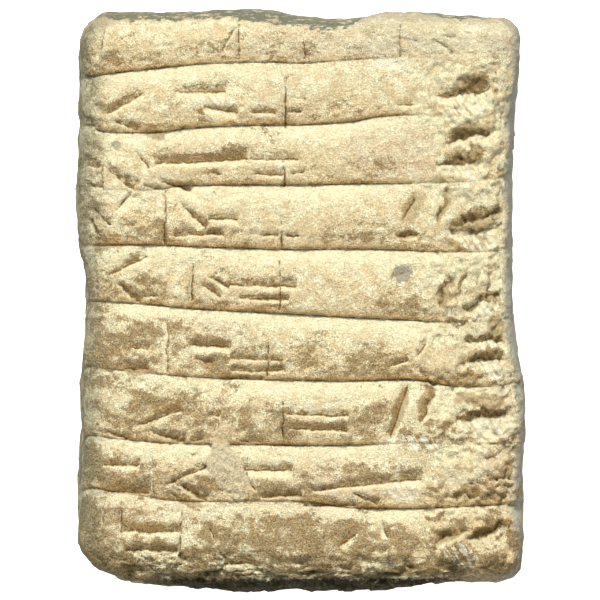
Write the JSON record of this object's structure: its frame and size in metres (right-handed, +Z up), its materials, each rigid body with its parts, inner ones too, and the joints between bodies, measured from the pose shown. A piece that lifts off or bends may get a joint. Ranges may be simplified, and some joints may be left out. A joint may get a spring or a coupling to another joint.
{
  "type": "cuneiform tablet",
  "caption": "Small pillow-shaped clay writing tablet, one face ruled into rows pressed with wedge-shaped stylus strokes, resting on its back.",
  "frame": {"origin": "middle of the bounding box's underside; the tablet lies on its back with the written face up", "axes": "+X along the rows to the right, +Y towards the top edge as pictured, +Z up out of the written face"},
  "size_m": [0.039, 0.0506, 0.0168],
  "materials": {
    "clay": "matt sun-dried clay, cream and tan with grey-brown patches"
  },
  "bodies": {
    "root": {"tablet": "clay"}
  },
  "joints": []
}
